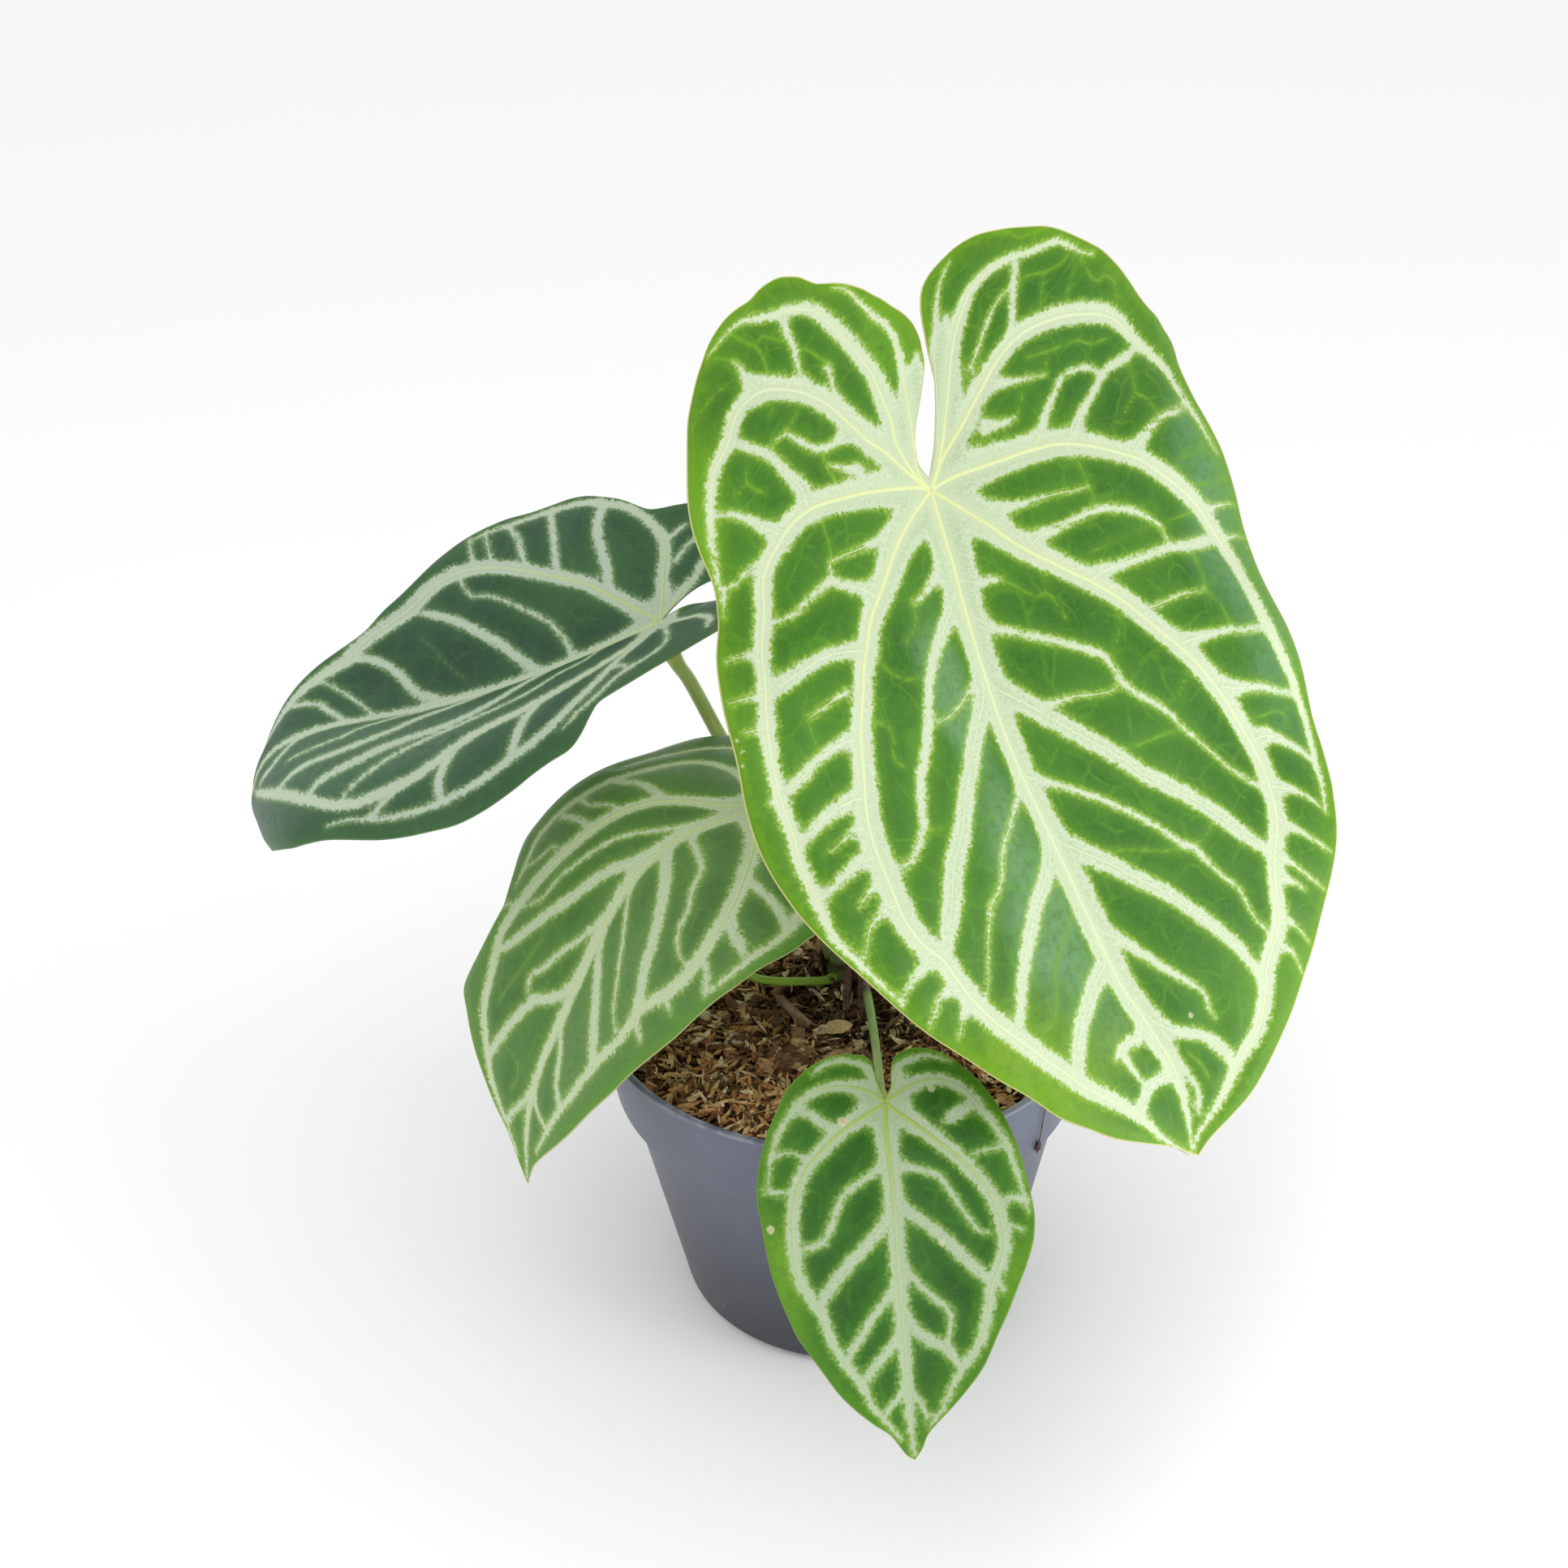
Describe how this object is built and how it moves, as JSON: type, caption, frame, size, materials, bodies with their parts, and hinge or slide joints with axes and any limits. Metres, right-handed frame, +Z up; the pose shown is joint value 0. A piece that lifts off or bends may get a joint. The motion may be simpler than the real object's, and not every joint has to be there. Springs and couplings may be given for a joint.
{
  "type": "potted silver blush anthurium",
  "caption": "Potted aroid with heart-shaped, silver-veined leaves on slender petioles from a short stem, standing in a round plastic nursery pot of bark and coir.",
  "frame": {"origin": "centre of the pot's flat base, on the surface it stands on", "axes": "+Z up along the pot's axis, -Y towards the front, where the small leaf hangs over the rim, +X to the right"},
  "size_m": [0.2545, 0.2211, 0.2557],
  "materials": {
    "pot": "satin moulded plastic, slate grey",
    "soil": "loose coir, compost and wood chips",
    "bark": "rough bark",
    "husk": "smooth pale husk",
    "stem": "living green stem with brown papery sheaths",
    "petiole": "living green stalk, satin",
    "leaf_bright": "living leaf, bright green with silver veins, velvety sheen",
    "leaf_muted": "older living leaf, grey-green with silver veins"
  },
  "bodies": {
    "root": {"pot": "pot", "soil": "soil", "bark_shard": "bark", "seed_husk": "husk", "stem_base": "stem", "petiole_large": "petiole", "petiole_small": "petiole", "petiole_middle": "petiole", "petiole_dark": "petiole", "blade_large": "leaf_bright", "blade_small": "leaf_bright", "blade_middle": "leaf_muted", "blade_dark": "leaf_muted"}
  },
  "joints": []
}
